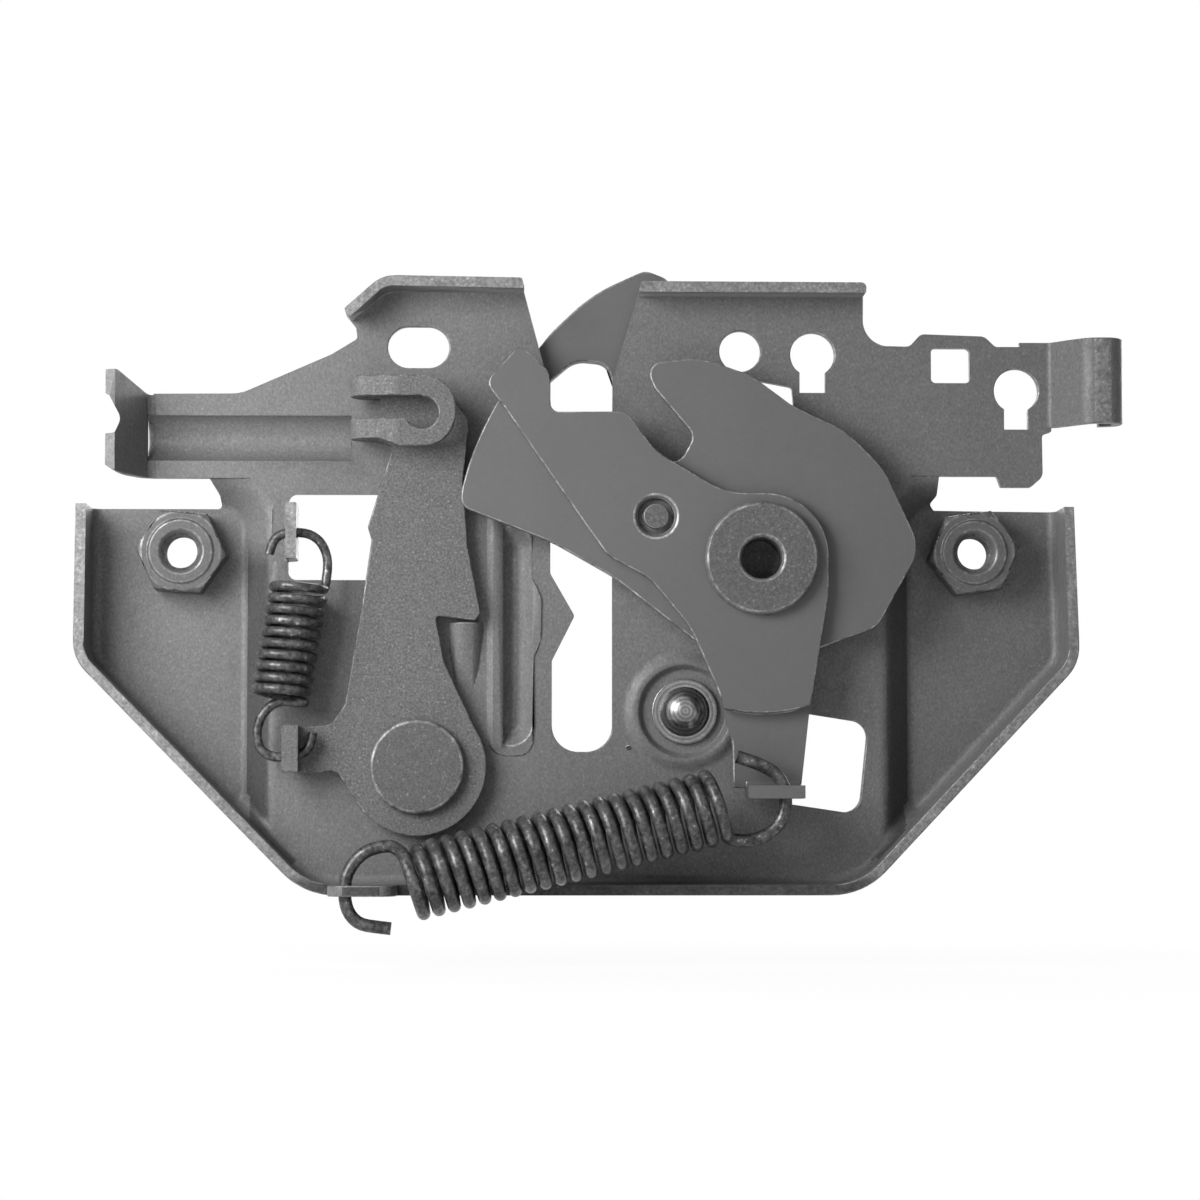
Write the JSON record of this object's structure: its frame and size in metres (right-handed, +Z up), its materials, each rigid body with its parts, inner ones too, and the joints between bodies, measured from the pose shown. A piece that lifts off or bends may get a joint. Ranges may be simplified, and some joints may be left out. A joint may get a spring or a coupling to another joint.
{
  "type": "bonnet latch",
  "caption": "Pressed-steel bonnet latch with weld nuts, a popped-up striker catch, a cable release lever, a safety hook and tension springs",
  "frame": {"origin": "midway between the two weld nuts, on the wings' back face", "axes": "+X to the right along the line of the nuts, +Y towards the car body behind, +Z up; the mechanism faces -Y"},
  "size_m": [0.1971, 0.0299, 0.1257],
  "materials": {
    "plate_steel": "dark grey satin coated pressed steel",
    "lever_steel": "dark grey phosphated steel, finely speckled",
    "catch_steel": "smooth dark grey coated steel",
    "nut_steel": "dark zinc-coated steel",
    "rivet_steel": "dark grey coated steel with a worn edge",
    "bush_steel": "plain bearing steel",
    "pin_steel": "bright turned steel",
    "spring_steel": "oiled black spring steel"
  },
  "bodies": {
    "plate": {"base_plate": "plate_steel", "weld_nut_left": "nut_steel", "weld_nut_right": "nut_steel", "release_rivet": "rivet_steel", "release_bush": "bush_steel", "release_washer": "bush_steel", "catch_pivot": "rivet_steel", "catch_bush": "bush_steel", "catch_spacer": "bush_steel", "safety_pin": "pin_steel", "safety_washer": "pin_steel", "safety_spring": "spring_steel", "main_spring": "spring_steel", "return_spring": "spring_steel"},
    "release": {"release_lever": "lever_steel"},
    "catch": {"catch_plate": "catch_steel", "lifter_plate": "catch_steel", "link_rivet": "rivet_steel"},
    "safety": {"safety_hook": "catch_steel"}
  },
  "joints": [
    {"name": "catch_turn", "type": "hinge", "parent": "plate", "child": "catch", "pos_m": [0.0341, -0.0133, -0.0017], "axis": [0, -1, 0], "range_deg": [0, 44], "stiffness_Nm_per_rad": 1.2, "springref_deg": -28.65, "deforming": ["main_spring"]},
    {"name": "release_pull", "type": "hinge", "parent": "plate", "child": "release", "pos_m": [-0.0303, -0.009, -0.0406], "axis": [0, -1, 0], "range_deg": [0, 12], "stiffness_Nm_per_rad": 0.8, "springref_deg": -17.19, "deforming": ["return_spring"]},
    {"name": "safety_turn", "type": "hinge", "parent": "plate", "child": "safety", "pos_m": [0.0201, -0.0032, -0.0301], "axis": [0, 1, 0], "range_deg": [0, 16], "stiffness_Nm_per_rad": 0.4, "springref_deg": -17.19, "deforming": ["safety_spring"]}
  ]
}
